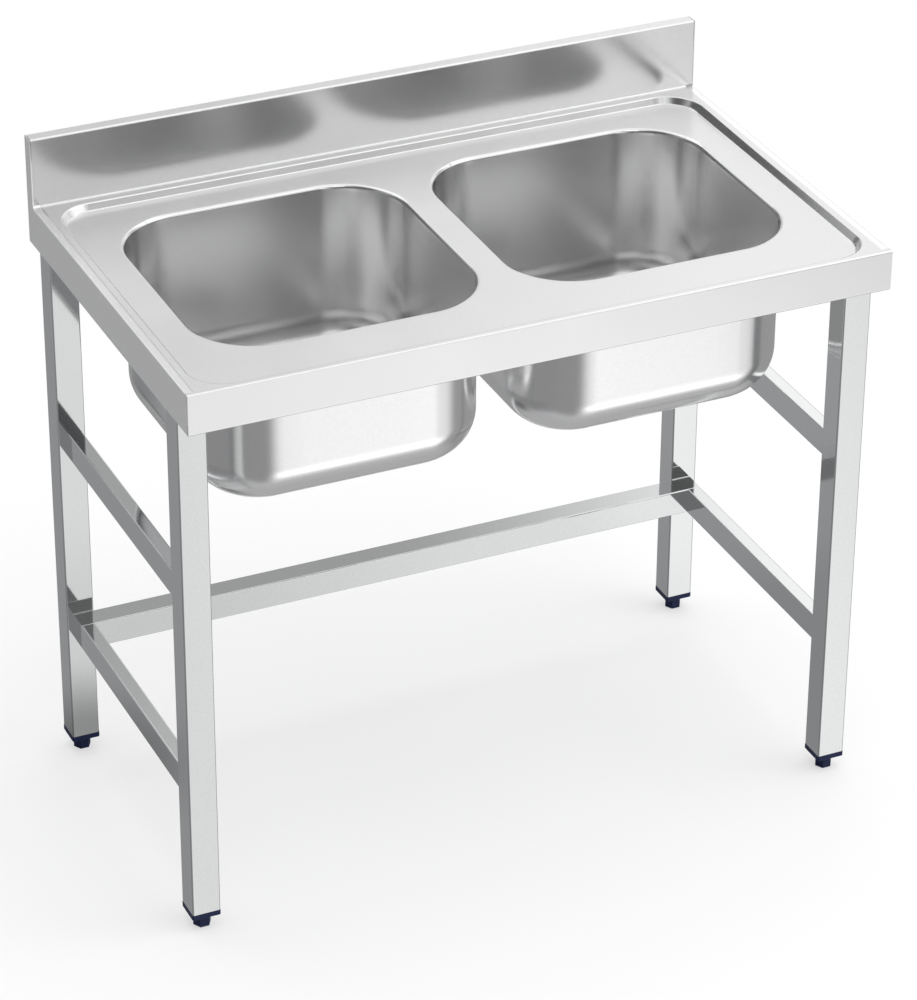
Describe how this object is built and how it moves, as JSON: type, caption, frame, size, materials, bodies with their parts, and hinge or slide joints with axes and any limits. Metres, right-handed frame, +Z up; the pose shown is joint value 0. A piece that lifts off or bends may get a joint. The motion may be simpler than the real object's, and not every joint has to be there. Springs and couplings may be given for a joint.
{
  "type": "commercial double bowl sink",
  "caption": "Freestanding stainless steel sink with square bowls in a dished top, a low splashback, side skirts and an open tube leg frame on adjustable feet.",
  "frame": {"origin": "on the floor, below the middle of the overall width and depth", "axes": "+X to the right seen from the front, +Y to the back with the splashback, +Z up"},
  "size_m": [1, 0.6, 0.95],
  "materials": {
    "sheet_steel": "satin folded stainless sheet",
    "bowl_steel": "satin pressed stainless",
    "tube_steel": "bright stainless tube",
    "bracket_steel": "plain stainless",
    "fastener_steel": "plain steel",
    "polished_steel": "polished",
    "blue_plastic": "moulded, satin",
    "white_plastic": "moulded, satin",
    "black_rubber": "matt"
  },
  "bodies": {
    "sink": {"worktop": "sheet_steel", "left_end_panel": "sheet_steel", "right_end_panel": "sheet_steel", "left_bowl": "bowl_steel", "right_bowl": "bowl_steel", "front_left_leg": "tube_steel", "front_right_leg": "tube_steel", "back_left_leg": "tube_steel", "back_right_leg": "tube_steel", "front_left_bracket": "bracket_steel", "front_right_bracket": "bracket_steel", "back_left_bracket": "bracket_steel", "back_right_bracket": "bracket_steel", "leg_screws": "fastener_steel", "left_upper_rail": "tube_steel", "right_upper_rail": "tube_steel", "left_lower_rail": "tube_steel", "right_lower_rail": "tube_steel", "rear_rail": "tube_steel", "rear_rail_left_end": "tube_steel", "rear_rail_right_end": "tube_steel", "rail_bolts": "fastener_steel", "rail_washers": "fastener_steel", "rail_nuts": "fastener_steel", "front_channel": "bracket_steel", "back_channel": "bracket_steel", "front_left_cap": "blue_plastic", "front_right_cap": "blue_plastic", "back_left_cap": "blue_plastic", "back_right_cap": "blue_plastic", "left_waste_cup": "polished_steel", "left_waste_washer": "black_rubber", "left_waste_backnut": "white_plastic", "right_waste_cup": "polished_steel", "right_waste_washer": "black_rubber", "right_waste_backnut": "white_plastic"},
    "front_left_stem": {"front_left_stem": "fastener_steel"},
    "front_left_foot": {"front_left_foot": "blue_plastic"},
    "front_right_stem": {"front_right_stem": "fastener_steel"},
    "front_right_foot": {"front_right_foot": "blue_plastic"},
    "back_left_stem": {"back_left_stem": "fastener_steel"},
    "back_left_foot": {"back_left_foot": "blue_plastic"},
    "back_right_stem": {"back_right_stem": "fastener_steel"},
    "back_right_foot": {"back_right_foot": "blue_plastic"},
    "left_basket": {"left_basket": "polished_steel", "left_basket_seal": "black_rubber"},
    "right_basket": {"right_basket": "polished_steel", "right_basket_seal": "black_rubber"}
  },
  "joints": [
    {"name": "front_left_stem_slide", "type": "slide", "parent": "sink", "child": "front_left_stem", "axis": [0, 0, -1], "range_m": [0, 0.03]},
    {"name": "front_left_foot_turn", "type": "hinge", "parent": "front_left_stem", "child": "front_left_foot", "pos_m": [-0.4785, -0.234, 0.01], "axis": [0, 0, -1], "range_deg": [0, 7200]},
    {"name": "front_right_stem_slide", "type": "slide", "parent": "sink", "child": "front_right_stem", "axis": [0, 0, -1], "range_m": [0, 0.03]},
    {"name": "front_right_foot_turn", "type": "hinge", "parent": "front_right_stem", "child": "front_right_foot", "pos_m": [0.4785, -0.234, 0.01], "axis": [0, 0, -1], "range_deg": [0, 7200]},
    {"name": "back_left_stem_slide", "type": "slide", "parent": "sink", "child": "back_left_stem", "axis": [0, 0, -1], "range_m": [0, 0.03]},
    {"name": "back_left_foot_turn", "type": "hinge", "parent": "back_left_stem", "child": "back_left_foot", "pos_m": [-0.4785, 0.244, 0.01], "axis": [0, 0, -1], "range_deg": [0, 7200]},
    {"name": "back_right_stem_slide", "type": "slide", "parent": "sink", "child": "back_right_stem", "axis": [0, 0, -1], "range_m": [0, 0.03]},
    {"name": "back_right_foot_turn", "type": "hinge", "parent": "back_right_stem", "child": "back_right_foot", "pos_m": [0.4785, 0.244, 0.01], "axis": [0, 0, -1], "range_deg": [0, 7200]},
    {"name": "left_basket_lift", "type": "slide", "parent": "sink", "child": "left_basket", "axis": [0, 0, 1], "range_m": [0, 0.06]},
    {"name": "right_basket_lift", "type": "slide", "parent": "sink", "child": "right_basket", "axis": [0, 0, 1], "range_m": [0, 0.06]}
  ],
  "couplings": [
    {"joint": "front_left_foot_turn", "follows": "front_left_stem_slide", "rad_per_m": 4188.8},
    {"joint": "front_right_foot_turn", "follows": "front_right_stem_slide", "rad_per_m": 4188.8},
    {"joint": "back_left_foot_turn", "follows": "back_left_stem_slide", "rad_per_m": 4188.8},
    {"joint": "back_right_foot_turn", "follows": "back_right_stem_slide", "rad_per_m": 4188.8}
  ]
}
